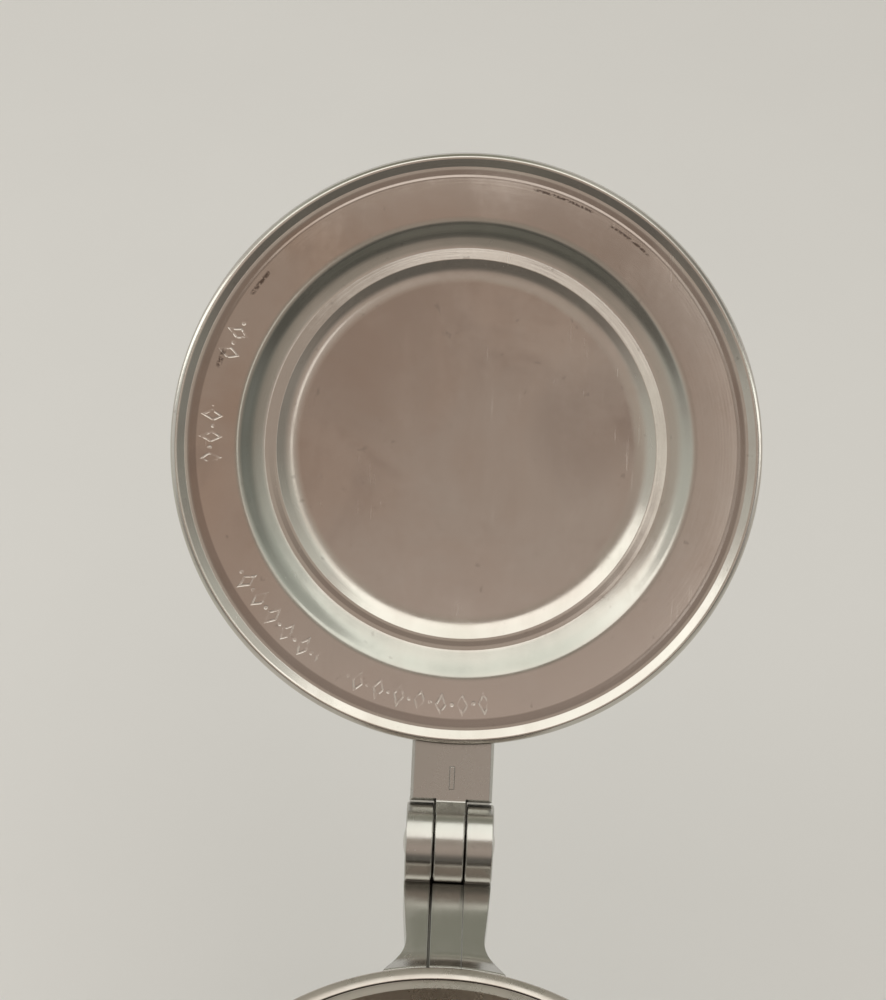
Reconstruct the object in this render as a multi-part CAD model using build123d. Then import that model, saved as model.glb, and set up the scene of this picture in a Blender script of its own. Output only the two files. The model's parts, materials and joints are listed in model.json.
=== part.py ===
"""Lidded pewter tankard, in millimetres.

+Z is up, +Y points from the drum to the handle, and X runs along the hinge pin.
The origin is the middle of the standing face. The lid stands fully open, with its
thumbpiece resting on the shoulder of the handle.
"""
from build123d import *
from math import acos, asin, atan2, cos, hypot, radians, sin, sqrt, tan
import os

# Drum: one tapered wall with a straight collar under the mouth
rim_height = 138.0
mouth_r = 41.5
drum_wall = 1.8
collar_height = 12.0
drum_end_r = 50.5
drum_end_z = 5.0
mouth_break = 0.4
reed_width = 2.0
reed_depth = 0.8
reed_count = 3
low_reeds_z = 29.0
high_reeds_z = 96.0

# Lip band soldered round the mouth
lip_width = 2.5
lip_face = 3.0
lip_face_round = 0.9
lip_neck = 0.9
lip_neck_height = 1.3
lip_bead = 1.7
lip_bead_height = 2.4
lip_bead_round = 0.7
lip_band_height = 9.0
lip_break = 0.4

# Foot ring and floor
foot_flare = 6.5
foot_rest_width = 5.5
foot_edge = 3.2
foot_edge_round = 1.4
foot_edge_run = 2.2
foot_height = 15.0
foot_ledge = 2.2
foot_cove = 2.6
foot_neck = 1.4
foot_bead = 1.0
foot_bead_height = 2.0
foot_bead_round = 0.8
foot_cap = 0.8
foot_break = 0.6
floor_thickness = 2.0
floor_rise = 1.5
floor_flat_r = 30.0
floor_z = 5.6

# Lid, drawn shut
lid_r = 52.0
lid_wall = 1.9
lid_seat_gap = 0.15
lid_locate_gap = 1.4
cove_width = 4.6
cove_depth = 2.0
cove_round = 0.5
ridge_width = 2.0
ridge_drop = 0.25
ridge_round = 0.25
crown_slope_width = 2.3
crown_depth = 2.85
crown_round = 7.0
edge_width = 0.9
edge_depth = 0.62
edge_round = 1.0
rim_bead = 0.95
rim_bead_width = 2.4
rim_top_bead = 0.7
rim_top_width = 2.3
rim_top_slope = 0.6
shell_shift = 0.6
shell_round = 1.8

# Hinge
hinge_reach = 23.8
hinge_rise = 2.5
barrel_r = 6.9
knuckle_width = 5.2
hinge_width = 15.3
hinge_gap = 0.3
slit_width = 0.5
slit_depth = 2.6
solder_line = 0.05
pin_r = 1.5
pin_clearance = 0.05
pin_head_r = 2.6
pin_head = 0.45
open_angle = 135.0
edge_break = 0.2

# Bracket that carries the ears
arm_drop = 1.5
arm_depth = 8.0
arm_waist_width = 13.2
arm_waist_reach = 4.6
arm_flare_width = 21.0
arm_flare_r = 6.0
arm_ear_r = 8.0
arm_edge = 0.7
arm_cove = 2.6
arm_cove_rise = 1.2
arm_toe = 0.3

# Lid strap
strap_width = 14.4
strap_tongue = 8.0
strap_tip = 0.9
strap_thickness = 3.6
strap_shoulder_gap = 0.5
strap_under = 1.0
strap_edge = 0.5
strap_round = 6.0
neck_fillet = 0.5

# Thumbpiece
thumb_height = 24.6
thumb_back = 2.5
thumb_stem_width = 6.0
thumb_stem_depth = 4.0
thumb_stem_height = 16.0
thumb_swell = 5.0
thumb_swell_height = 10.0
thumb_swell_round = 4.0
thumb_neck_rise = 2.2
thumb_neck_round = 3.0
thumb_base = 8.0
thumb_pad = 1.2
thumb_pad_round = 0.8
thumb_setback = 0.1
thumb_rib_r = 2.3
thumb_rib_root_r = 0.8
thumb_rib_sink = 0.2
thumb_rib_count = 5
thumb_rib_angle = 13.5
thumb_rib_length = 11.5
thumb_stop_gap = 0.3
tang_thickness = 0.8
tang_width = 4.0
tang_peen = 0.2
tang_reach = 11.6

# Handle: widths and thicknesses from the hinge to the tail
handle_top_corner = 1.0
grip_width = 13.0
grip_thickness = 8.6
tail_width = 8.0
tail_thickness = 5.4
grip_reach = 39.0
tail_ball_r = 5.2
round_share = 0.46
handle_steps = 10
grip_low = 54.0
grip_bow = 58.0
neck_share = 0.14
neck_sink = 0.5
neck_step = 6.5
neck_bow = 20.0
shoulder_step = 22.5
shoulder_bow = 24.0
shoulder_cut = 0.6
strut_bow = 30.0
tail_drop = 16.0
tail_bow = 8.0
tail_end_reach = 9.5
tail_end_drop = 21.0
strut_length = 11.0
strut_r = 3.6
strut_height = 43.0
strut_plate_r = 7.5
strut_plate = 1.2
strut_run = 12.0

# Places that follow from the sizes above
drum_top_r = mouth_r + drum_wall
lip_r = drum_top_r + lip_width
axis_y = lip_r + hinge_reach
axis_z = rim_height + hinge_rise
lid_z = rim_height + lid_seat_gap
arm_top = rim_height - arm_drop
arm_bottom = arm_top - arm_depth
half_knuckle = knuckle_width / 2
half_hinge = hinge_width / 2
core_left = -half_knuckle
slit_left = core_left - slit_width
cheek_left = -half_knuckle - hinge_gap
cheek_right = half_knuckle + hinge_gap
strap_top = lid_wall + strap_thickness
shoulder_y = axis_y - barrel_r - strap_shoulder_gap
hinge_axis = Axis((0, axis_y, axis_z), (-1, 0, 0))
slope = radians(open_angle - 90)
REACH = lid_r + thumb_base  # long enough to cut right across any piece


def outline(corners):
    """Closed face from (x, y, rounding) corners; a rounding never outgrows its walls."""
    points = [Vector(x, y) for x, y, _ in corners]
    count = len(points)
    reach = []
    for n, (_, _, radius) in enumerate(corners):
        back = points[n - 1] - points[n]
        ahead = points[(n + 1) % count] - points[n]
        half_turn = radians(180 - back.get_angle(ahead)) / 2
        reach.append((radius, radius * tan(half_turn)))
    radii = []
    for n, (radius, length) in enumerate(reach):
        room = 1.0
        for m in (n - 1, (n + 1) % count):
            wall = (points[m] - points[n]).length
            room = min(room, 0.98 * wall / max(length + reach[m][1], 0.98 * wall))
        radii.append(radius * room)
    return make_face(FilletPolyline(*points, radius=radii, close=True))


def ring(corners):
    """A solid of revolution about Z from (radius, height, rounding) corners."""
    return revolve(Plane.XZ * outline(corners), Axis.Z)


def side_face(corners):
    """A face in the YZ plane from (y, z, rounding) corners."""
    return Plane.YZ * outline(corners)


def slab(face, x_from, x_to):
    """A YZ face made solid between two X positions."""
    return Pos(x_from, 0, 0) * extrude(face, x_to - x_from, dir=(1, 0, 0))


def rod_x(radius, x_from, x_to, y, z):
    """A round bar along X."""
    bar = Cylinder(radius, x_to - x_from)
    return Pos((x_from + x_to) / 2, y, z) * Rot(0, 90, 0) * bar


def drum_outer_r(z):
    """Outside radius of the drum at a height."""
    collar_z = rim_height - collar_height
    if z >= collar_z:
        return drum_top_r
    share = (z - drum_end_z) / (collar_z - drum_end_z)
    return drum_end_r + (drum_top_r - drum_end_r) * share


def drum_outline(inset):
    """Corners of the drum's wall, drawn in by an inset, from the mouth down."""
    return [
        (drum_top_r - inset, rim_height, 0),
        (drum_top_r - inset, rim_height - collar_height, 0),
        (drum_end_r - inset, drum_end_z, 0),
    ]


def drum_plug(inset=0):
    """Everything inside the drum's outer surface, or inside its bore."""
    return ring([(0, rim_height, 0)] + drum_outline(inset) + [(0, drum_end_z, 0)])


def make_drum():
    """Tapered wall with two bands of raised reeds and a broken edge at the mouth."""
    mouth, *outside = drum_outline(0)
    inner_mouth, *inside = drum_outline(drum_wall)
    edge = [
        (inner_mouth[0], rim_height - mouth_break, 0),
        (inner_mouth[0] + mouth_break, rim_height, 0),
        (mouth[0] - mouth_break, rim_height, 0),
        (mouth[0], rim_height - mouth_break, 0),
    ]
    drum = ring(inside[::-1] + edge + outside)
    for middle in (low_reeds_z, high_reeds_z):
        for n in range(reed_count):
            z = middle + (n - (reed_count - 1) / 2) * reed_width
            half = reed_width / 2
            drum += ring(
                [
                    (drum_outer_r(z - half) - drum_wall / 2, z - half, 0),
                    (drum_outer_r(z - half), z - half, 0),
                    (drum_outer_r(z) + reed_depth, z - half / 2, 0),
                    (drum_outer_r(z) + reed_depth, z + half / 2, 0),
                    (drum_outer_r(z + half), z + half, 0),
                    (drum_outer_r(z + half) - drum_wall / 2, z + half, 0),
                ]
            )
    return drum


def make_lip_band():
    """Moulded band: flat face, cove and a half-round bead."""
    top = rim_height
    neck_r = drum_top_r + lip_neck
    bead_r = drum_top_r + lip_bead
    foot = top - lip_band_height
    bead_top = foot + lip_bead_height
    return ring(
        [
            (drum_top_r, top - mouth_break, 0),
            (drum_top_r + mouth_break / 2, top, 0),
            (lip_r - lip_break, top, 0),
            (lip_r, top - lip_break, 0),
            (lip_r, top - lip_face, lip_face_round),
            (neck_r, bead_top + lip_neck_height, 0),
            (neck_r, bead_top, 0),
            (bead_r, bead_top, lip_bead_round),
            (bead_r, foot + lip_break, 0),
            (drum_top_r, foot, 0),
        ]
    )


def make_foot_ring(plug):
    """Spreading foot with a rest face, a round edge, a cove and a bead on top."""
    foot_r = drum_end_r + foot_flare
    bead_top = foot_height - foot_cap
    bead_bottom = bead_top - foot_bead_height
    neck_r = drum_outer_r(bead_bottom) + foot_neck
    bead_r = neck_r + foot_bead
    cap_r = drum_outer_r(foot_height)
    body = ring(
        [
            (foot_r - foot_rest_width, 0, 0),
            (foot_r - foot_break, 0, 0),
            (foot_r, foot_break, 0),
            (foot_r, foot_edge, foot_edge_round),
            (foot_r - foot_edge_run, foot_edge + foot_edge_round, 0),
            (neck_r, bead_bottom - foot_cove, foot_cove),
            (neck_r, bead_bottom, 0),
            (bead_r, bead_bottom, foot_bead_round),
            (bead_r, bead_top, 0),
            (cap_r, foot_height, 0),
            (cap_r - drum_wall, foot_height, 0),
            (drum_end_r - foot_ledge, drum_end_z, 0),
        ]
    )
    return body - plug


def make_floor():
    """A disc raised in the middle, cut to the bore of the drum."""
    edge_r = drum_end_r
    under = [(edge_r, floor_z, 0), (floor_flat_r, floor_z + floor_rise, 0)]
    over = [(r, z + floor_thickness, 0) for r, z, _ in under]
    low, high = floor_z + floor_rise, floor_z + floor_rise + floor_thickness
    return ring([(0, low, 0)] + under[::-1] + over + [(0, high, 0)]) & drum_plug(
        drum_wall
    )


def ear(x_from, x_to):
    """A hinge barrel with broken edges."""
    barrel = rod_x(barrel_r, x_from, x_to, axis_y, axis_z)
    return chamfer(barrel.edges().filter_by(GeomType.CIRCLE), edge_break)


def joint_corner():
    """Outer point of the flat joint between bracket and handle."""
    return (
        axis_y + barrel_r * sin(slope),
        axis_z - barrel_r * cos(slope),
    )


def joint_length():
    """Length of that joint, down to the underside of the bracket."""
    return (joint_corner()[1] - arm_bottom) / sin(slope)


def bracket_side():
    """Side view of the bracket below the hinge barrel, run on into the drum."""
    corner_y, corner_z = joint_corner()
    toe_y = corner_y - joint_length() * cos(slope)
    return side_face(
        [
            (mouth_r, arm_bottom, 0),
            (toe_y, arm_bottom, 0),
            (corner_y, corner_z, 0),
            (axis_y, axis_z, 0),
            (axis_y - sqrt(barrel_r**2 - (axis_z - arm_top) ** 2), arm_top, 0),
            (mouth_r, arm_top, 0),
        ]
    )


def bracket_plan():
    """Plan view of the bracket: straight at the ears, waisted, flared at the drum."""
    waist_y = lip_r + arm_waist_reach
    half_waist = arm_waist_width / 2
    half_flare = arm_flare_width / 2
    flare_y = sqrt(lip_r**2 - half_flare**2)
    far_y = axis_y + 2 * barrel_r
    right = [
        (half_hinge, far_y, 0),
        (half_hinge, axis_y - barrel_r, arm_ear_r),
        (half_waist, waist_y, arm_flare_r),
        (half_flare, flare_y, 0),
        (half_flare, 0, 0),
    ]
    return outline(right + [(-x, y, r) for x, y, r in reversed(right)])


def bracket_blank(mug):
    """The bracket as one block with its ears, before it is cut into three."""
    plan = extrude(Pos(0, 0, arm_bottom) * bracket_plan(), 2 * arm_depth)
    block = slab(bracket_side(), -REACH, REACH) & plan
    toe = ring(
        [
            (lip_r - lip_width / 2, arm_top - arm_edge, 0),
            (lip_r + 2 * arm_cove, arm_top - arm_edge, 0),
            (lip_r + 2 * arm_cove, arm_top, 0),
            (lip_r + arm_cove, arm_top, 2 * arm_cove),
            (lip_r + arm_toe, arm_top + arm_cove_rise, 0),
            (lip_r - lip_width / 2, arm_top + arm_cove_rise, 0),
        ]
    )
    rough = block + (toe & plan)
    return rough - mug


def make_bracket(mug):
    """Core and two cheeks; a groove follows the left joint, the right one is tight."""
    blank = bracket_blank(mug)
    swing = rod_x(barrel_r + hinge_gap, -REACH, REACH, axis_y, axis_z)
    bore = rod_x(pin_r, -REACH, REACH, axis_y, axis_z)
    core_right = cheek_right - solder_line
    wide = 4 * REACH

    def band(x_from, x_to):
        return Pos((x_from + x_to) / 2, 0, 0) * Box(x_to - x_from, wide, 4 * rim_height)

    groove = Box(slit_width, wide, 2 * slit_depth)
    core = blank & band(slit_left + solder_line, core_right)
    core -= Pos(core_left - slit_width / 2, 0, arm_top) * groove
    core -= swing
    left = blank & band(-REACH, slit_left)
    left = left + ear(-half_hinge, cheek_left) - bore
    right = blank & band(cheek_right, REACH)
    right = right + ear(cheek_right, half_hinge) - bore
    return core, left, right


def make_pin():
    """Hinge pin with a low peened dome at each end."""
    dome_r = (pin_head_r**2 + pin_head**2) / (2 * pin_head)
    shift = half_hinge + pin_head - dome_r
    half = asin(pin_head_r / dome_r) / 2
    dome = ThreePointArc(
        (half_hinge + pin_head, 0),
        (shift + dome_r * cos(half), dome_r * sin(half)),
        (half_hinge, pin_head_r),
    )
    shank = Polyline((half_hinge, pin_head_r), (half_hinge, pin_r), (0, pin_r))
    centre = Polyline((0, pin_r), (0, 0), (half_hinge + pin_head, 0))
    profile = make_face(Curve() + [dome, shank, centre])
    profile += mirror(profile, Plane.YZ)
    return Pos(0, axis_y, axis_z) * revolve(profile, Axis.X)


def lid_point(y, z):
    """A point of the shut lid, given from the lid's axis and its seating face."""
    return (y, lid_z + z)


def make_lid_shut():
    """Turned lid: rim bead, flat flange, cove, ridge, and a raised flat crown."""
    cove_top = mouth_r - lid_locate_gap
    cove = cove_top - cove_width
    ridge = cove - ridge_width
    ridge_z = cove_depth - ridge_drop
    crown = ridge - crown_slope_width
    bead_in = lid_r - rim_bead_width
    bead_top = lid_wall + rim_top_bead
    under = [
        (0, crown_depth, 0),
        (crown, crown_depth, crown_round),
        (ridge, ridge_z, ridge_round),
        (cove, cove_depth, cove_round),
        (cove_top - edge_width, edge_depth, edge_round),
        (cove_top, 0, edge_round),
        (bead_in, 0, 0),
        (lid_r - rim_bead_width / 2, -0.75 * rim_bead, 0),
        (lid_r - rim_bead_width / 4, -rim_bead, 0),
        (lid_r, -0.2 * rim_bead, 0),
    ]
    over = [
        (lid_r, lid_wall, 0),
        (lid_r - rim_top_slope, bead_top, 0),
        (lid_r - rim_top_width + rim_top_slope, bead_top, 0),
        (lid_r - rim_top_width, lid_wall, 0),
        (cove_top + shell_shift, lid_wall, shell_round),
        (cove + 0.5 * cove_width, cove_depth + lid_wall, 0),
        (ridge + shell_shift, ridge_z + lid_wall, 0),
        (crown + 2 * shell_shift, crown_depth + lid_wall, shell_round),
        (0, crown_depth + lid_wall, 0),
    ]
    return Pos(0, 0, lid_z) * ring(under + over)


def make_tang():
    """The thumbpiece's blade, down through the strap and peened."""
    top_z = strap_top + thumb_pad
    height = top_z - strap_under + tang_peen
    y, z = lid_point(axis_y - tang_reach, top_z - height / 2)
    return Pos(0, y, z) * Box(tang_thickness, tang_width, height)


def make_strap_shut(lid, tang):
    """Flat strap with square shoulders, running smoothly into the knuckle."""
    half_width = strap_width / 2
    tongue_y = lid_r - strap_tongue
    low, high = lid_z + strap_under, lid_z + strap_top
    body = side_face(
        [
            (tongue_y, low, 0),
            (shoulder_y, low, 0),
            (shoulder_y, high, 0),
            (lid_r, high, strap_round),
            (tongue_y, lid_z + lid_wall + strap_tip, 0),
        ]
    )
    strap = slab(body, -half_width, half_width)
    under = [edge for edge in strap.edges() if abs(edge.center().Z - low) < 0.01]
    strap = chamfer([edge for edge in under if edge.center().Y > tongue_y + 0.1], strap_edge)
    tip = Pos(0, tongue_y + half_width, 0) * Cylinder(half_width, 4 * rim_height)
    rest = Pos(0, tongue_y + half_width + REACH / 2, 0)
    strap &= tip + rest * Box(strap_width, REACH, 4 * rim_height)

    # The knuckle's underside leaves the strap at its shoulder, tangent to the barrel.
    back_y, back_z = shoulder_y - axis_y, low - axis_z
    lean = atan2(-back_z, -back_y) + acos(barrel_r / hypot(back_y, back_z))
    touch_y, touch_z = axis_y - barrel_r * cos(lean), axis_z - barrel_r * sin(lean)
    neck = side_face(
        [
            (lid_r + strap_edge, low, 0),
            (shoulder_y, low, neck_fillet),
            (touch_y, touch_z, 0),
            (axis_y, axis_z, 0),
            (axis_y - barrel_r * cos(lean), axis_z + barrel_r * sin(lean), 0),
            (shoulder_y, high, neck_fillet),
            (lid_r + strap_edge, high, 0),
        ]
    )
    knuckle = rod_x(barrel_r, -half_knuckle, half_knuckle, axis_y, axis_z)
    knuckle = chamfer(knuckle.edges().filter_by(GeomType.CIRCLE), edge_break)
    bore = rod_x(pin_r + pin_clearance, -REACH, REACH, axis_y, axis_z)
    neck = slab(neck, -half_knuckle, half_knuckle)
    return strap + neck + knuckle - bore - lid - tang


def thumb_place(dy, dz):
    """A point of the shut thumbpiece, given from the hinge axis."""
    return (axis_y + dy, axis_z + dz)


def make_thumbpiece_shut(tang, strap):
    foot_dz = lid_z + strap_top - axis_z
    front = -tang_reach - thumb_base / 2
    back = shoulder_y - axis_y - thumb_setback
    corners = [
        (front, foot_dz, 0),
        (back, foot_dz, 0),
        (back, foot_dz + thumb_pad, thumb_pad_round),
        (-thumb_back, barrel_r + thumb_neck_rise, thumb_neck_round),
        (-thumb_back, thumb_stem_height, 0),
        (-thumb_back - thumb_stem_depth, thumb_stem_height, 0),
        (-thumb_back - thumb_swell, thumb_swell_height, thumb_swell_round),
        (front, foot_dz + thumb_pad, thumb_pad_round),
    ]
    stem_face = side_face([(*thumb_place(dy, dz), r) for dy, dz, r in corners])
    half = thumb_stem_width / 2
    thumb = slab(stem_face, -half, half)
    focus_dz = thumb_height - thumb_rib_r - thumb_rib_length
    focus = Vector(0, *thumb_place(-thumb_back - thumb_rib_r + thumb_rib_sink, focus_dz))
    for n in range(thumb_rib_count):
        lean = thumb_rib_angle * (n - (thumb_rib_count - 1) / 2)
        rib = Cone(thumb_rib_root_r, thumb_rib_r, thumb_rib_length)
        rib = Pos(0, 0, thumb_rib_length / 2) * rib
        rib += Pos(0, 0, thumb_rib_length) * Sphere(thumb_rib_r)
        thumb += Pos(*focus) * Rot(0, lean, 0) * rib
    behind_y = axis_y - thumb_back + REACH / 2
    thumb -= Pos(0, behind_y, axis_z + REACH / 2 + barrel_r) * Box(REACH, REACH, REACH)
    return thumb + tang - strap


def open_lid(piece):
    """Swings a piece of the shut lid back to the open stop."""
    return piece.rotate(hinge_axis, open_angle)


def along(step, rise):
    """A (y, z) point by the open lid's slope: down the handle, and out from it."""
    return (
        axis_y + step * sin(slope) + rise * cos(slope),
        axis_z - step * cos(slope) + rise * sin(slope),
    )


def handle_line():
    """The handle's centreline in the YZ plane, from the bracket joint to the tail."""
    shoulder = thumb_back - thumb_stop_gap - grip_thickness / 2 - shoulder_cut
    grip_y = drum_top_r + grip_reach + grip_thickness / 2
    strut_y = drum_outer_r(strut_height) + strut_length
    corners = [
        (along(barrel_r - neck_sink, -joint_length() / 2), 0),
        (along(barrel_r + neck_step, shoulder), neck_bow),
        (along(barrel_r + shoulder_step, shoulder), shoulder_bow),
        ((grip_y, rim_height - grip_low), grip_bow),
        ((strut_y, strut_height), strut_bow),
        ((strut_y, strut_height - tail_drop), tail_bow),
        ((strut_y + tail_end_reach, strut_height - tail_end_drop), 0),
    ]
    points = [(0, *place) for place, _ in corners]
    return FilletPolyline(*points, radius=[r for _, r in corners[1:-1]])


def handle_section(path, share):
    """Rounded section of the handle at a share of its length."""
    if share < neck_share:
        mix = share / neck_share
        width = hinge_width + (grip_width - hinge_width) * mix
        thick = joint_length() + (grip_thickness - joint_length()) * mix
        corner = handle_top_corner + (grip_thickness * round_share - handle_top_corner) * mix
    else:
        mix = (share - neck_share) / (1 - neck_share)
        width = grip_width + (tail_width - grip_width) * mix
        thick = grip_thickness + (tail_thickness - grip_thickness) * mix
        corner = thick * round_share
    place = Plane(origin=path @ share, x_dir=(1, 0, 0), z_dir=path % share)
    return place * RectangleRounded(width, thick, corner)


def make_handle():
    """Solid cast handle with a ball on its tail and a flat where the lid stops."""
    path = handle_line()
    body = loft([handle_section(path, n / handle_steps) for n in range(handle_steps + 1)])
    body += Pos(*(path @ 1)) * Sphere(tail_ball_r)
    rest = thumb_back - thumb_stop_gap
    middle = along(2 * REACH, rest + REACH)
    turn = Rot(open_angle - 180, 0, 0)
    body -= Pos(0, *middle) * turn * Box(REACH, 4 * REACH, 2 * REACH)
    middle = along(barrel_r - REACH, 0)
    body -= Pos(0, *middle) * turn * Box(REACH, 2 * REACH, 2 * REACH)
    return body - rod_x(barrel_r + hinge_gap, cheek_left, cheek_right, axis_y, axis_z)


def make_strut_blank():
    """Bar towards the handle, a round plate, and the shell that thins the plate."""
    y = drum_outer_r(strut_height)
    middle = Pos(0, y, strut_height) * Rot(90, 0, 0)
    bar = middle * Cylinder(strut_r, 2 * strut_run)
    plate = middle * Cylinder(strut_plate_r, 2 * strut_run)
    shell = ring(
        [
            (drum_outer_r(0) + strut_plate, 0, 0),
            (drum_outer_r(rim_height - collar_height) + strut_plate, rim_height, 0),
            (0, rim_height, 0),
            (0, 0, 0),
        ]
    )
    return bar, plate, shell


def make_strut(plug, handle):
    bar, plate, shell = make_strut_blank()
    front = Pos(0, REACH, strut_height) * Box(2 * REACH, 2 * REACH, 2 * REACH)
    return ((bar + (plate & shell)) & front) - plug - handle


def main():
    plug = drum_plug()
    drum = make_drum()
    lip_band = make_lip_band()
    mug = plug + lip_band
    core, left, right = make_bracket(mug)
    handle = make_handle()
    strut = make_strut(plug, handle)
    lid = make_lid_shut()
    tang = make_tang()
    strap = make_strap_shut(lid, tang)
    thumbpiece = make_thumbpiece_shut(tang, strap)
    parts = {
        "drum": drum,
        "lip_band": lip_band,
        "foot_ring": make_foot_ring(plug),
        "floor_plate": make_floor(),
        "bracket_core": core,
        "bracket_cheek_left": left,
        "bracket_cheek_right": right,
        "hinge_pin": make_pin(),
        "handle": handle,
        "handle_strut": strut,
        "lid": open_lid(lid),
        "lid_strap": open_lid(strap),
        "thumbpiece": open_lid(thumbpiece),
    }
    os.makedirs("parts", exist_ok=True)
    for name, shape in parts.items():
        export_step(shape, f"parts/{name}.step")


main()
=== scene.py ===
import json
import math

import bmesh
import bpy
from mathutils import Matrix, Vector


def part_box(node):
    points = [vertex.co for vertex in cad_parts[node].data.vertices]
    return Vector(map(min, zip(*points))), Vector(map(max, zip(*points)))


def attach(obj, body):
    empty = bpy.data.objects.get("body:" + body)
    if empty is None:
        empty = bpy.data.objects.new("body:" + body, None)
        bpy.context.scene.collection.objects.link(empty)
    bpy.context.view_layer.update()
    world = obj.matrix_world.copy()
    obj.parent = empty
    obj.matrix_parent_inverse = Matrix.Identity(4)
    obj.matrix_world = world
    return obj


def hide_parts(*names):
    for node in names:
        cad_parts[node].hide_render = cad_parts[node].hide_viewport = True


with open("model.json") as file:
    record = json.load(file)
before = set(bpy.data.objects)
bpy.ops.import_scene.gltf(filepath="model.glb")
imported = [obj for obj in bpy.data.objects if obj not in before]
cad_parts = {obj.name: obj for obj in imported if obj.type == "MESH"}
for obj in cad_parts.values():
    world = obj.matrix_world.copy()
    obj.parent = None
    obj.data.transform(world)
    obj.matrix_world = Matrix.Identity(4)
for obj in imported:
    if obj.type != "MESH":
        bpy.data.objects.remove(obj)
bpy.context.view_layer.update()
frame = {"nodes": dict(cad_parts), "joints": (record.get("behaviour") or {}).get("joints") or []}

MM = 0.001
nodes = frame["nodes"]

# ---------------------------------------------------------------- where things are
WALL = 1.8 * MM
LIP_AND_WALL = 4.3 * MM
COLLAR = 12 * MM
SEAT_GAP = 0.15 * MM

joint = frame["joints"][0]
hinge = Vector(joint["pos_m"])
open_turn = math.radians(joint["range_deg"][1])
drum_lo, drum_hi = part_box("drum")
lip_lo, lip_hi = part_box("lip_band")
foot_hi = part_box("foot_ring")[1]
floor_lo, floor_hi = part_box("floor_plate")
lid_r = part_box("lid")[1].x
rim_z = drum_hi.z

# The lid's own frame: its axis is Z and its seating face is z = 0, as when shut.
lid_frame = (
    Matrix.Translation(hinge)
    @ Matrix.Rotation(-open_turn, 4, "X")
    @ Matrix.Translation(-hinge)
    @ Matrix.Translation((0, 0, rim_z + SEAT_GAP))
)

# Sizes in millimetres, which the turned profiles are drawn in
wall = WALL / MM
rim = rim_z / MM
collar = (rim_z - COLLAR) / MM
drum_low = drum_lo.z / MM
drum_end_r = drum_hi.x / MM
lip_low = lip_lo.z / MM
lip_r = lip_hi.x / MM
mouth_r = (lip_hi.x - LIP_AND_WALL) / MM
drum_top_r = (lip_hi.x - LIP_AND_WALL + WALL) / MM


# ---------------------------------------------------------------- turned shapes
def rounded(corners, steps):
    """Points of a polyline whose corners (r, z, rounding), in millimetres, are rounded."""
    pts = []
    last = len(corners) - 1
    for i, (r, z, rad) in enumerate(corners):
        p = Vector((r, z))
        if rad <= 0 or i in (0, last):
            pts.append(p)
            continue
        a = Vector(corners[i - 1][:2]) - p
        b = Vector(corners[i + 1][:2]) - p
        la, lb = a.length, b.length
        a, b = a / la, b / lb
        half = math.acos(max(-1, min(1, a.dot(b)))) / 2
        cut = min(rad / math.tan(half), 0.49 * la, 0.49 * lb)
        rad = cut * math.tan(half)
        mid = p + (a + b).normalized() * (rad / math.sin(half))
        start, end = p + a * cut - mid, p + b * cut - mid
        turn = math.atan2(start.x * end.y - start.y * end.x, start.dot(end))
        n = max(2, int(abs(turn) / math.radians(90) * steps) + 1)
        for k in range(n + 1):
            t = turn * k / n
            c, s = math.cos(t), math.sin(t)
            pts.append(mid + Vector((start.x * c - start.y * s, start.x * s + start.y * c)))
    return pts


def lathe(name, corners, matrix=None, segments=240, closed=True, steps=6):
    """A turned piece from rounded (r, z, rounding) corners in millimetres."""
    bm = bmesh.new()
    rings = []
    for p in rounded(corners, steps):
        if p.x < 1e-6:
            rings.append([bm.verts.new((0, 0, p.y * MM))])
            continue
        ring = []
        for k in range(segments):
            angle = 2 * math.pi * k / segments
            ring.append(bm.verts.new((p.x * MM * math.cos(angle), p.x * MM * math.sin(angle), p.y * MM)))
        rings.append(ring)
    pairs = list(zip(rings, rings[1:]))
    if closed:
        pairs.append((rings[-1], rings[0]))
    for low, high in pairs:
        for k in range(segments):
            j = (k + 1) % segments
            if len(low) == 1:
                face = (low[0], high[j], high[k])
            elif len(high) == 1:
                face = (low[k], low[j], high[0])
            else:
                face = (low[k], low[j], high[j], high[k])
            bm.faces.new(face)
    bmesh.ops.recalc_face_normals(bm, faces=bm.faces)
    if matrix is not None:
        bm.transform(matrix)
    mesh = bpy.data.meshes.new(name)
    bm.to_mesh(mesh)
    bm.free()
    for poly in mesh.polygons:
        poly.use_smooth = True
    mesh.set_sharp_from_angle(angle=math.radians(38))
    piece = bpy.data.objects.new(name, mesh)
    bpy.context.scene.collection.objects.link(piece)
    return piece


def drum_r(z):
    """Outside radius of the drum at a height."""
    if z >= collar:
        return drum_top_r
    return drum_end_r + (drum_top_r - drum_end_r) * (z - drum_low) / (collar - drum_low)


def make_drum():
    """Tapered wall with two bands of three round reeds."""
    reed_bands = (96, 29)
    reed_pitch = 2.0
    reed = ((0.95, 0, 0.12), (0.62, 0.66, 0.4), (0, 0.84, 0.9), (-0.62, 0.66, 0.4), (-0.95, 0, 0.12))
    collar_round = 20
    outside = [(drum_top_r, rim, 0.6), (drum_top_r, collar, collar_round)]
    for middle in reed_bands:
        for n in (1, 0, -1):
            z = middle + n * reed_pitch
            for dz, out, rad in reed:
                outside.append((drum_r(z + dz) + out, z + dz, rad))
    outside.append((drum_r(drum_low), drum_low, 0))
    inside = [
        (drum_end_r - wall, drum_low, 0),
        (mouth_r, collar, collar_round),
        (mouth_r, rim, 0.7),
    ]
    return lathe("drum_turned", [((mouth_r + drum_top_r) / 2, rim, 0), *outside, *inside])


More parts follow.
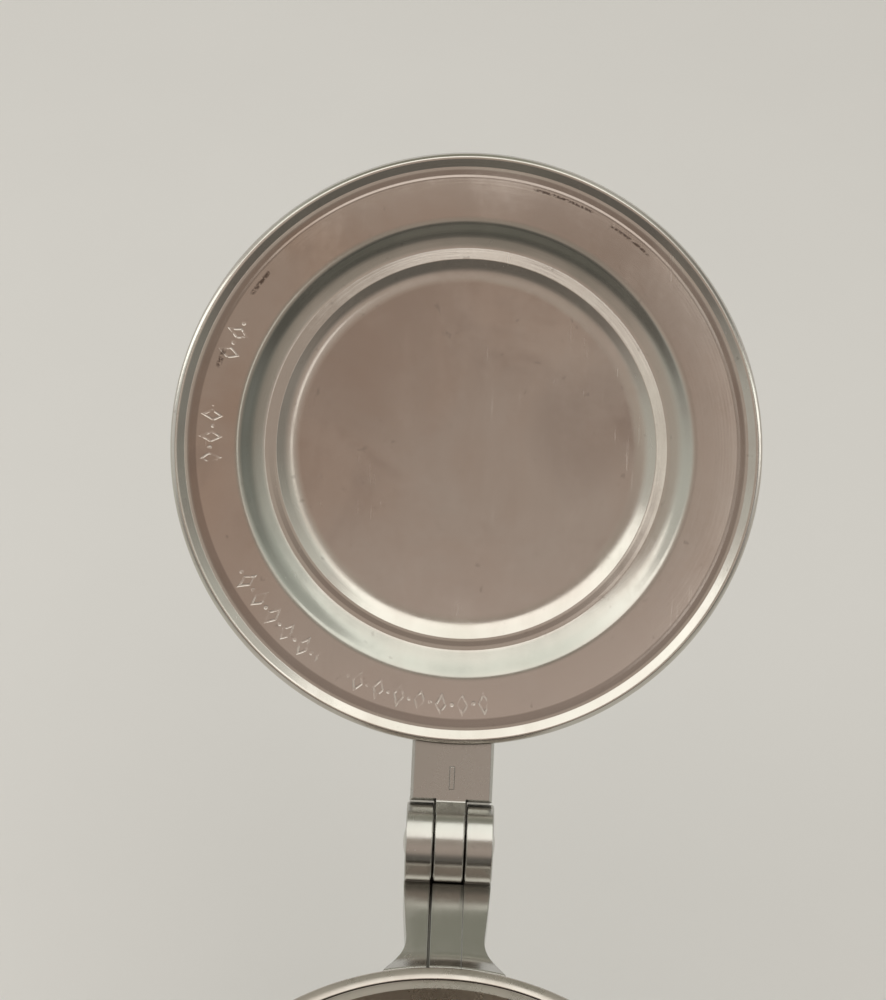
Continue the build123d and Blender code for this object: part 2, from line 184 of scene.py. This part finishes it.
def make_lip():
    """Flat face, cove and half-round bead, soldered round the drum's top."""
    cove_r = lip_r - 1.5
    bead_r = lip_r - 0.75
    bead_top = lip_low + 2.45
    bead_low = lip_low + 0.5
    face_low = rim - 3.0
    return lathe(
        "lip_turned",
        [
            (drum_top_r + 1.2, rim, 0),
            (lip_r, rim, 0.55),
            (lip_r, face_low, 0.9),
            (cove_r, lip_low + 3.7, 1.4),
            (cove_r, bead_top, 0.15),
            (bead_r, bead_top, 0.7),
            (bead_r, bead_low, 0.8),
            (drum_top_r + 0.1, lip_low, 0.1),
            (drum_top_r, lip_low, 0),
            (drum_top_r, rim - 0.5, 0),
            (drum_top_r + 0.15, rim - 0.1, 0.1),
            (drum_top_r + 0.35, rim, 0.1),
        ],
    )


def make_foot():
    """Spreading foot with a rest face, a round edge, a cove, a bead and a cap."""
    top = foot_hi.z / MM
    foot_r = foot_hi.x / MM
    rest_r = foot_r - 5.5
    edge_top = 3.2
    bead_top, bead_low = top - 0.8, top - 2.8
    neck_r = drum_r(bead_low) + 1.4
    bead_r = neck_r + 1.0
    return lathe(
        "foot_turned",
        [
            (rest_r, 0, 0.4),
            (foot_r, 0, 0.8),
            (foot_r, edge_top, 1.5),
            (foot_r - 2.2, edge_top + 1.4, 0.3),
            (neck_r, bead_low - 2.6, 4.0),
            (neck_r, bead_low, 0.15),
            (bead_r, bead_low, 0.9),
            (bead_r, bead_top, 0.9),
            (drum_r(top), top, 0.2),
            (drum_r(top) - 0.8, top, 0),
            (drum_end_r - 0.8, drum_low, 0),
            (drum_end_r - 2.2, drum_low, 0.3),
        ],
    )


def make_floor_plate():
    """Slightly domed disc inside the drum."""
    thick = 2.0
    flat_r = 30
    dome_round = 60
    edge_r = drum_r(7.6) - wall
    low = floor_lo.z / MM
    edge_low = low + 0.1
    rise = floor_hi.z / MM - low - thick
    return lathe(
        "floor_turned",
        [
            (0, low + rise, 0),
            (flat_r, low + rise, dome_round),
            (edge_r, edge_low, 0),
            (edge_r, low + thick + 0.1, 0),
            (flat_r, low + rise + thick, dome_round),
            (0, low + rise + thick, 0),
        ],
        closed=False,
    )


def make_lid():
    """Stepped plate: crown, ridge and cove inside the mouth, flange and rim bead outside it."""
    edge = lid_r / MM
    cove_top = mouth_r - 1.4
    cove = cove_top - 4.6
    ridge = cove - 2.0
    crown = ridge - 2.3
    crown_under, crown_top = 2.85, 4.7
    flange_top = 1.9
    profile = [
        (0, crown_under, 0),
        (crown, crown_under, 9.0),
        (ridge, 1.75, 0.25),
        (cove, 1.96, 0.5),
        (cove + 2.4, 1.3, 6.0),
        (cove_top - 0.15, 0, 2.6),
        (edge - 4.3, 0, 0.1),
        (edge - 3.9, 0.05, 0.3),
        (edge - 2.5, 0.0, 0.3),
        (edge - 1.3, -0.68, 0.7),
        (edge - 0.9, -0.8, 0.6),
        (edge - 0.25, -0.35, 0.9),
        (edge, 0.2, 0.4),
        (edge, 1.75, 0.6),
        (edge - 0.6, 2.58, 0.45),
        (edge - 1.6, 2.58, 0.45),
        (edge - 2.3, flange_top, 0.3),
        (cove_top + 0.6, flange_top, 1.8),
        (cove + 2.3, 3.8, 1.6),
        (ridge + 0.6, 3.65, 0.8),
        (crown + 1.2, crown_top, 1.8),
        (0, crown_top, 0),
    ]
    return lathe("lid_turned", profile, matrix=lid_frame, segments=288, closed=False, steps=12)


# ---------------------------------------------------------------- shader helpers
class Nodes:
    """Adds nodes to a shader tree and joins them. A value is a socket, a number or a colour."""

    def __init__(self, tree):
        self.tree = tree

    def node(self, kind, **props):
        n = self.tree.nodes.new(kind)
        for k, v in props.items():
            setattr(n, k, v)
        return n

    def join(self, value, socket):
        if isinstance(value, bpy.types.NodeSocket):
            self.tree.links.new(value, socket)
        elif isinstance(value, tuple):
            socket.default_value = (*value, 1.0)
        else:
            socket.default_value = value

    def math(self, op, a, b=0.0, clamp=False):
        n = self.node("ShaderNodeMath", operation=op, use_clamp=clamp)
        self.join(a, n.inputs[0])
        self.join(b, n.inputs[1])
        return n.outputs[0]

    def add(self, a, b):
        return self.math("ADD", a, b)

    def less(self, a, b):
        return self.math("SUBTRACT", a, b)

    def times(self, a, b):
        return self.math("MULTIPLY", a, b)

    def over(self, a, b):
        return self.math("DIVIDE", a, b)

    def size(self, a):
        return self.math("ABSOLUTE", a)

    def length(self, a, b):
        return self.math("SQRT", self.add(self.times(a, a), self.times(b, b)))

    def most(self, *values):
        top = values[0]
        for value in values[1:]:
            top = self.math("MAXIMUM", top, value)
        return top

    def xyz(self, vector):
        n = self.node("ShaderNodeSeparateXYZ")
        self.join(vector, n.inputs[0])
        return n.outputs

    def ramp(self, value, low, high, out_low=0.0, out_high=1.0):
        """A smooth step from one output at low to the other at high."""
        n = self.node("ShaderNodeMapRange", interpolation_type="SMOOTHSTEP")
        self.join(value, n.inputs["Value"])
        for key, v in (("From Min", low), ("From Max", high), ("To Min", out_low), ("To Max", out_high)):
            self.join(v, n.inputs[key])
        return n.outputs["Result"]

    def window(self, value, low, high, soft):
        """1 between low and high, fading over soft."""
        return self.times(self.ramp(value, low - soft, low), self.ramp(value, high, high + soft, 1.0, 0.0))

    def mix(self, share, a, b):
        n = self.node("ShaderNodeMix", data_type="RGBA")
        self.join(share, n.inputs["Factor"])
        self.join(a, n.inputs["A"])
        self.join(b, n.inputs["B"])
        return n.outputs["Result"]


class Shader(Nodes):
    """A material with one Principled shader."""

    def __init__(self, name, metallic=1.0):
        self.mat = bpy.data.materials.new(name)
        self.mat.use_nodes = True
        super().__init__(self.mat.node_tree)
        self.bsdf = self.tree.nodes["Principled BSDF"]
        self.bsdf.inputs["Metallic"].default_value = metallic

    def place(self, own_frame=None):
        """Object coordinates, or those of a frame set in the object."""
        here = self.node("ShaderNodeTexCoord").outputs["Object"]
        if own_frame is None:
            return here
        n = self.node("ShaderNodeMapping", vector_type="TEXTURE")
        self.join(here, n.inputs["Vector"])
        n.inputs["Location"].default_value = own_frame.translation
        n.inputs["Rotation"].default_value = own_frame.to_euler()
        return n.outputs[0]

    def scaled(self, vector, scale, turn=(0, 0, 0)):
        n = self.node("ShaderNodeMapping")
        self.join(vector, n.inputs["Vector"])
        n.inputs["Scale"].default_value = scale
        n.inputs["Rotation"].default_value = turn
        return n.outputs[0]

    def noise(self, vector, scale, detail=3.0, rough=0.5, distort=0.0):
        n = self.node("ShaderNodeTexNoise")
        self.join(vector, n.inputs["Vector"])
        n.inputs["Scale"].default_value = scale
        n.inputs["Detail"].default_value = detail
        n.inputs["Roughness"].default_value = rough
        n.inputs["Distortion"].default_value = distort
        return n.outputs["Fac"]

    def bump(self, height, distance, strength, normal=None):
        n = self.node("ShaderNodeBump")
        self.join(height, n.inputs["Height"])
        n.inputs["Distance"].default_value = distance
        n.inputs["Strength"].default_value = strength
        if normal is not None:
            self.join(normal, n.inputs["Normal"])
        return n.outputs["Normal"]


# ---------------------------------------------------------------- pewter
BASE = (0.60, 0.565, 0.52)
DARK = (0.45, 0.39, 0.34)
CAST_BASE = (0.53, 0.525, 0.49)
CAST_DARK = (0.43, 0.405, 0.37)
PIN_BASE = (0.66, 0.64, 0.6)
PIN_DARK = (0.4, 0.37, 0.33)
# Warm tone for random tarnish and for painted shade on the flats.
WARM_AND_SHADE = (0.50, 0.41, 0.345)
COOL = (0.60, 0.60, 0.54)
# Grey-green for painted shade on the lid's cove.
COVE_SHADE = (0.36, 0.375, 0.335)
# Brown for smudges, a thumb mark and painted shade on the flats.
DULL_AND_SHADE = (0.39, 0.33, 0.29)
# Light tone for painted light on the flats.
PAINTED_LIGHT_TONE = (0.67, 0.63, 0.59)
FRESH_CUT = (0.8, 0.79, 0.74)
# Dark brown for rub marks, the groove's darker band and painted shade in the ridge's crease.
STAIN_AND_SHADE = (0.09, 0.06, 0.045)
# Near-black for grime and painted shade in corners.
GRIME_AND_SHADE = (0.07, 0.06, 0.05)


def scratches(sh, place):
    """Hairlines in three directions, gathered in patches."""
    lines = []
    for turn, along in (((0.2, 0.4, 0.5), 70), ((1.1, -0.5, 2.2), 95), ((-0.7, 0.9, -1.1), 60)):
        stretched = sh.scaled(place, (2400, along, 2400), turn)
        lines.append(sh.ramp(sh.noise(stretched, scale=1.0, detail=2.0), 0.68, 0.8))
    patches = sh.ramp(sh.noise(place, scale=55.0, detail=2.0, rough=0.6), 0.48, 0.68)
    return sh.times(sh.most(*lines), patches)


def turning_marks(sh, place):
    """Fine rings left by the lathe, about the piece's own axis."""
    x, y, z = sh.xyz(place)
    r = sh.length(x, y)
    off_axis = sh.most(r, 0.002)
    around = sh.node("ShaderNodeCombineXYZ")
    sh.join(sh.times(sh.over(x, off_axis), 1.3), around.inputs[0])
    sh.join(sh.times(sh.over(y, off_axis), 1.3), around.inputs[1])
    sh.join(sh.times(sh.add(r, z), 2600.0), around.inputs[2])
    return sh.noise(around.outputs[0], scale=1.0, detail=3.0, rough=0.65)


def pewter(
    name, base, dark, rough, smudge,
    turned=False, bevel=0.0, soil_and_shade=1.0, grain=1.0, decorate=None, own_frame=None,
):
    """Old polished pewter: smudges, hairline scratches, tool marks, and grime with painted shade in
    corners.
    """
    sh = Shader(name)
    place = sh.place(own_frame)
    cloud = sh.noise(place, scale=38.0, detail=4.0, rough=0.55, distort=0.6)
    streak = sh.noise(sh.scaled(place, (90, 18, 18)), scale=1.0, detail=4.0, rough=0.6, distort=0.8)
    blot = sh.ramp(sh.add(sh.times(cloud, 0.6), sh.times(streak, 0.4)), 0.36, 0.66)
    fine = sh.noise(place, scale=900.0, detail=3.0, rough=0.6)
    speck = sh.ramp(sh.noise(place, scale=420.0, detail=2.0, rough=0.7), 0.66, 0.76)
    scratch = scratches(sh, place)

    # Painted shade with grime: ambient occlusion darkens corners, creases and gaps towards near-black and
    # makes them rougher.
    corners = sh.node("ShaderNodeAmbientOcclusion", samples=6, only_local=False)
    corners.inputs["Distance"].default_value = 1.2 * MM
    grime_and_shade = sh.ramp(corners.outputs["AO"], 0.3, 0.8, soil_and_shade, 0.0)

    height = sh.less(sh.times(fine, 0.24 * grain), sh.times(scratch, 0.5))
    if turned:
        height = sh.add(height, sh.times(turning_marks(sh, place), 0.7))
    tints, marks = [], []
    if decorate:
        relief, tints, marks = decorate(sh, place)
        height = sh.add(height, relief)

    colour = sh.mix(sh.times(blot, smudge), base, dark)
    for share, tint in tints:
        colour = sh.mix(share, colour, tint)
    colour = sh.mix(sh.times(speck, 0.22 * soil_and_shade), colour, tuple(c * 0.45 for c in dark))
    # The marks, then grime with painted shade in corners, go over the tints.
    for share, tint in [*marks, (sh.times(grime_and_shade, 0.8), GRIME_AND_SHADE)]:
        colour = sh.mix(share, colour, tint)
    sh.join(colour, sh.bsdf.inputs["Base Color"])

    polish = sh.ramp(sh.add(sh.times(blot, 0.6), sh.times(fine, 0.4)), 0.2, 0.9, *rough)
    polish = sh.add(polish, sh.times(scratch, 0.12))
    polish = sh.math("ADD", polish, sh.times(grime_and_shade, 0.3), clamp=True)
    sh.join(polish, sh.bsdf.inputs["Roughness"])

    normal = None
    if bevel:
        softened = sh.node("ShaderNodeBevel", samples=6)
        softened.inputs["Radius"].default_value = bevel
        normal = softened.outputs["Normal"]
    ripple = sh.noise(place, scale=70.0, detail=1.5, rough=0.5, distort=0.4)
    normal = sh.bump(ripple, 0.09 * MM, 1.0, normal)
    sh.join(sh.bump(height, 0.02 * MM, 0.6, normal), sh.bsdf.inputs["Normal"])
    return sh.mat


# ---------------------------------------------------------------- the lid's marks
# In the lid's own frame, +Y points to the hinge. Turns are in degrees from +X.
PUNCH_STEP = 2.42
PUNCH_GROUPS = ((83, 116), (123, 149), (175, 187), (198, 207))
LOZENGE_HALF_WIDTH = 0.85 * MM
LOZENGE_HALF_HEIGHT = 1.6 * MM
STAINS = ((196.5, 199, 6.1, 0.4), (214, 219, 5.6, 0.35), (283, 295, 5.0, 0.22), (301, 310, 5.4, 0.22))


def inset(distance):
    """Radius that lies a distance in millimetres inside the lid's edge."""
    return lid_r - distance * MM


def punched(sh, place, r, turn):
    """Lozenges and dots by turns, in groups round the flange."""
    punch_r = inset(7.1)
    spacing = math.radians(PUNCH_STEP) * punch_r
    cell = sh.math("MODULO", sh.over(turn, PUNCH_STEP), 2.0)
    shaky = sh.times(sh.less(sh.noise(place, scale=260.0, detail=1.0), 0.5), 1.1 * MM)
    rise = sh.size(sh.add(sh.less(r, punch_r), shaky))
    side = sh.times(sh.size(sh.less(cell, 0.5)), spacing / LOZENGE_HALF_WIDTH)
    edge = sh.add(side, sh.over(rise, LOZENGE_HALF_HEIGHT))
    lozenge = sh.ramp(sh.size(sh.less(edge, 1.0)), 0.13, 0.30, 1.0, 0.0)
    side = sh.times(sh.less(cell, 1.5), spacing)
    dot = sh.ramp(sh.length(side, rise), 0.26 * MM, 0.42 * MM, 1.0, 0.0)
    groups = sh.most(*(sh.window(turn, low, high, 0.4) for low, high in PUNCH_GROUPS))
    worn = sh.ramp(sh.noise(place, scale=600.0, detail=2.0), 0.38, 0.62, 0.15, 1.0)
    return sh.times(sh.times(sh.most(lozenge, dot), groups), worn)


def stains_and_shade(sh, place, y, r, turn, flange):
    """Rub marks on the flange, a darker band in the rim's groove, and painted shade in the ridge's crease,
    most toward the hinge.
    """
    rubs = []
    for low, high, distance, width in STAINS:
        off = sh.size(sh.less(r, inset(distance)))
        band = sh.ramp(off, 0.3 * width * MM, 1.6 * width * MM, 1.0, 0.0)
        rubs.append(sh.times(sh.window(turn, low, high, 1.2), band))
    broken = sh.ramp(sh.noise(place, scale=1500.0, detail=3.0, rough=0.6), 0.38, 0.55)
    rubs = sh.times(sh.times(sh.most(*rubs), broken), sh.times(flange, 0.85))
    # A darker band in the rim's groove.
    groove = sh.times(sh.window(r, inset(4.3), inset(3.2), 0.4 * MM), 0.4)
    # Painted shade: the ridge's crease darkened, most toward the hinge.
    crease_shade = sh.window(r, inset(17.9), inset(17.3), 0.3 * MM)
    crease_shade = sh.times(crease_shade, sh.ramp(y, -4 * MM, 24 * MM, 0.0, 0.4))
    return sh.most(rubs, groove, crease_shade)


def tones_and_painted_light(sh, place, x, y, r):
    """Tones of the flats, with painted shade toward the far edge and the left and painted light toward the
    hinge, and of the coves between them, with painted shade most on the left.
    """
    wide = sh.noise(place, scale=26.0, detail=4.0, rough=0.6, distort=0.8)
    # Painted shade: the flats made warmer and darker toward the far edge and the left.
    far_left_shade = sh.ramp(sh.add(sh.times(y, -9.0), sh.times(x, -9.0)), -0.15, 0.5)
    disc = sh.ramp(r, inset(22.8), inset(21.4), 1.0, 0.0)
    flats = sh.most(disc, sh.window(r, inset(11.5), inset(3.5), 0.8 * MM))

    warm_and_shade = sh.add(sh.times(sh.ramp(wide, 0.36, 0.66), 0.5), sh.times(far_left_shade, 0.55))

    smudges = sh.ramp(sh.noise(place, scale=48.0, detail=3.0, rough=0.55, distort=0.5), 0.56, 0.72)
    dull_and_shade = sh.add(sh.times(sh.times(disc, far_left_shade), 0.55), sh.times(smudges, 0.45))
    thumbed = sh.length(sh.less(x, 21 * MM), sh.add(y, 5 * MM))
    thumbed = sh.add(thumbed, sh.times(sh.less(wide, 0.5), 20 * MM))
    dull_and_shade = sh.add(dull_and_shade, sh.ramp(thumbed, 3 * MM, 14 * MM, 0.45, 0.0))
    # Darker toward the upper right of the flats.
    dull_and_shade = sh.add(dull_and_shade, sh.ramp(sh.less(x, y), 33 * MM, 60 * MM, 0.0, 0.42))

    # Painted light: the flats made lighter toward the hinge, more on the right, and at the far edge.
    near = sh.times(sh.ramp(y, 8 * MM, 34 * MM, 0.0, 0.6), sh.ramp(x, -40 * MM, 0.0, 0.2, 1.0))
    painted_light = sh.most(near, sh.ramp(y, -34 * MM, -50 * MM, 0.0, 0.5))
    painted_light = sh.times(sh.times(painted_light, flats), sh.ramp(wide, 0.3, 0.6, 0.6, 1.0))

    mottle = sh.noise(place, scale=45.0, detail=3.0, rough=0.6, distort=0.5)
    cool = sh.times(sh.less(1.0, flats), sh.ramp(mottle, 0.4, 0.65, 0.15, 0.6))

    # Painted shade: the cove darkened, most on the left, in patches.
    cove = sh.window(r, inset(15.8), inset(11.8), 0.8 * MM)
    cove_shade = sh.times(cove, sh.ramp(x, 18 * MM, 34 * MM, 0.75, 0.2))
    patches = sh.noise(place, scale=60.0, detail=3.0, rough=0.6)
    cove_shade = sh.times(cove_shade, sh.ramp(patches, 0.35, 0.6, 0.75, 1.0))
    return [
        (sh.times(warm_and_shade, flats), WARM_AND_SHADE),
        (sh.times(dull_and_shade, flats), DULL_AND_SHADE),
        (painted_light, PAINTED_LIGHT_TONE),
        (cool, COOL),
        (cove_shade, COVE_SHADE),
    ]


def lid_marks(sh, place):
    """The lid's relief, its tints with painted light and shade, and the marks that lie over them, painted
    shade in the ridge's crease among them.
    """
    x, y, z = sh.xyz(place)
    r = sh.length(x, y)
    degrees = sh.times(sh.math("ARCTAN2", y, x), 180 / math.pi)
    turn = sh.math("MODULO", sh.add(degrees, 360.0), 360.0)
    flange = sh.window(z, -0.3 * MM, 0.4 * MM, 0.2 * MM)
    cut = sh.times(punched(sh, place, r, turn), flange)
    marks = [
        (sh.times(cut, 0.75), FRESH_CUT),
        (stains_and_shade(sh, place, y, r, turn, flange), STAIN_AND_SHADE),
    ]
    return sh.times(cut, -4.0), tones_and_painted_light(sh, place, x, y, r), marks


# ---------------------------------------------------------------- the pieces
def dress(piece, material, body, slot, *replaces):
    """Gives a turned piece its material and body, in place of the plain solid."""
    piece.data.materials.append(material)
    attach(piece, body)
    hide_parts(*replaces)


lid_mat = pewter(
    "pewter_lid", BASE, DARK, rough=(0.16, 0.27), smudge=0.6,
    turned=True, decorate=lid_marks, own_frame=lid_frame,
)
body_mat = pewter("pewter_body", BASE, DARK, rough=(0.2, 0.34), smudge=0.6, turned=True)
cast_mat = pewter(
    "pewter_cast", CAST_BASE, CAST_DARK, rough=(0.18, 0.3), smudge=0.5,
    bevel=0.2 * MM, soil_and_shade=0.6, grain=0.4,
)
pin_mat = pewter("pin_metal", PIN_BASE, PIN_DARK, rough=(0.18, 0.3), smudge=0.4, bevel=0.2 * MM)

dress(make_drum(), body_mat, "mug", "pewter_body", "drum")
dress(make_floor_plate(), body_mat, "mug", "pewter_body", "floor_plate")
dress(make_lip(), body_mat, "mug", "pewter_cast", "lip_band")
dress(make_foot(), body_mat, "mug", "pewter_cast", "foot_ring")
dress(make_lid(), lid_mat, "lid", "pewter_lid", "lid")

CAST_NODES = (
    "bracket_core", "bracket_cheek_left", "bracket_cheek_right",
    "handle", "handle_strut", "lid_strap", "thumbpiece",
)
for name in (*CAST_NODES, "hinge_pin"):
    mesh = nodes[name].data
    mesh.materials.clear()
    mesh.materials.append(cast_mat if name in CAST_NODES else pin_mat)
    for poly in mesh.polygons:
        poly.use_smooth = True


# ---------------------------------------------------------------- stage
def make_floor():
    """Pale floor, painted paler further out where the lamps light it less, that falls off to grey in front
    of the object.
    """
    bpy.ops.mesh.primitive_circle_add(vertices=96, radius=6.0, fill_type="NGON", location=(0, 0, 0))
    floor = bpy.context.object
    floor.name = "stage_floor"
    sh = Shader("stage_pale", metallic=0.0)
    sh.bsdf.inputs["Roughness"].default_value = 0.75
    place = sh.place()
    x, y, z = sh.xyz(place)
    grain = sh.noise(place, scale=9.0, detail=4.0, rough=0.6)
    near = sh.mix(grain, (0.76, 0.75, 0.735), (0.80, 0.79, 0.775))
    # Painted light: the floor made paler further out, where the lamps reach less.
    pale = sh.mix(sh.ramp(sh.length(x, y), 0.5, 2.2), near, (0.97, 0.96, 0.945))
    in_front = sh.ramp(sh.times(y, -1.0), 0.28, 0.8)
    sh.join(sh.mix(in_front, pale, (0.33, 0.32, 0.30)), sh.bsdf.inputs["Base Color"])
    floor.data.materials.append(sh.mat)


def area_light(name, place, aim, size, power, colour):
    """A rectangular panel of light that faces a point."""
    data = bpy.data.lights.new(name, "AREA")
    data.shape = "RECTANGLE"
    data.size, data.size_y = size
    data.energy = power
    data.color = colour
    lamp = bpy.data.objects.new(name, data)
    bpy.context.scene.collection.objects.link(lamp)
    lamp.location = place
    lamp.rotation_euler = (Vector(aim) - Vector(place)).to_track_quat("-Z", "Y").to_euler()


def make_world():
    """A room with a warm front, a grey back, pale sides and a low dark front, which the lid mirrors."""
    world = bpy.data.worlds.new("studio")
    bpy.context.scene.world = world
    world.use_nodes = True
    sky = Nodes(world.node_tree)
    x, y, z = sky.xyz(sky.node("ShaderNodeTexCoord").outputs["Generated"])

    warm_low, warm_high = (0.55, 0.46, 0.405), (0.44, 0.37, 0.32)
    back, right_low = (0.30, 0.295, 0.24), (0.28, 0.275, 0.25)
    right_high, left = (0.72, 0.72, 0.67), (0.66, 0.665, 0.62)
    low_front, low_back = (0.16, 0.148, 0.132), (0.80, 0.79, 0.775)

    over = sky.ramp(z, 0.62, 0.8)
    room = sky.mix(sky.ramp(z, 0.60, 0.82), warm_low, warm_high)
    room = sky.mix(sky.ramp(y, -0.5, 0.2), room, back)
    room = sky.mix(sky.ramp(x, 0.12, 0.42), room, sky.mix(over, room, right_high))
    room = sky.mix(sky.ramp(x, 0.35, 0.8), room, sky.mix(over, right_low, right_high))
    room = sky.mix(sky.ramp(x, -0.35, -0.8), room, left)

    slot = sky.times(sky.ramp(x, 0.19, 0.23), sky.ramp(x, 0.34, 0.28))
    slot = sky.times(slot, sky.times(sky.ramp(z, 0.5, 0.56), sky.ramp(y, -0.4, -0.5)))
    room = sky.mix(slot, room, (1.5, 1.42, 1.34))

    behind = sky.times(sky.ramp(y, 0.58, 0.78), sky.ramp(z, 0.72, 0.5))
    room = sky.mix(behind, room, (0.74, 0.745, 0.72))

    horizon = sky.mix(sky.ramp(y, -0.7, -0.1), low_front, low_back)
    background = sky.tree.nodes["Background"]
    sky.join(sky.mix(sky.ramp(z, 0.14, 0.42), horizon, room), background.inputs["Color"])
    background.inputs["Strength"].default_value = 1.0


make_floor()
LOOK_AT = (0, 0.06, 0.13)
area_light("top_panel", (-0.3, 0.05, 1.35), (-0.3, 0.05, 0), (1.6, 1.1), 6.9, (1.0, 1.0, 0.975))
area_light("left_panel", (-1.25, 0.3, 0.75), LOOK_AT, (0.3, 0.8), 1.2, (1.0, 0.99, 0.95))
area_light("right_panel", (1.35, 0.1, 0.6), LOOK_AT, (0.3, 0.8), 1.2, (0.97, 1.0, 0.96))
make_world()

# ---------------------------------------------------------------- camera
# Where the lid's outline lies in the picture, and the distance that it is taken from
FRAME_W, FRAME_H = 886, 1000
LID_PX = (466.4, 448.5)
LID_PX_R = 297.0
ROLL = math.radians(2.5)
DISTANCE = 0.375
SENSOR = 36.0
RIM_BEAD_Z = -0.9 * MM


def make_camera():
    """Looks square at the open lid's underside, as the photograph does."""
    lid_centre = lid_frame @ Vector((0, 0, RIM_BEAD_Z))
    lid_axes = lid_frame.to_3x3()
    toward = (lid_axes @ Vector((0, 0, -1))).normalized()
    up = (lid_axes @ Vector((0, -1, 0))).normalized()
    right = up.cross(toward).normalized()
    turn = Matrix.Rotation(ROLL, 3, toward)
    up, right = turn @ up, turn @ right
    px = LID_PX_R / lid_r
    across = (LID_PX[0] - FRAME_W / 2) / px
    down = (LID_PX[1] - FRAME_H / 2) / px
    eye = lid_centre - right * across + up * down + toward * DISTANCE
    data = bpy.data.cameras.new("photo_view")
    data.sensor_width = SENSOR
    data.lens = px * DISTANCE / FRAME_H * SENSOR
    data.clip_start, data.clip_end = 0.01, 50.0
    camera = bpy.data.objects.new("photo_view", data)
    bpy.context.scene.collection.objects.link(camera)
    camera.matrix_world = Matrix.Translation(eye) @ Matrix((right, up, toward)).transposed().to_4x4()
    bpy.context.scene.camera = camera


make_camera()
bpy.context.scene.view_settings.view_transform = "Standard"
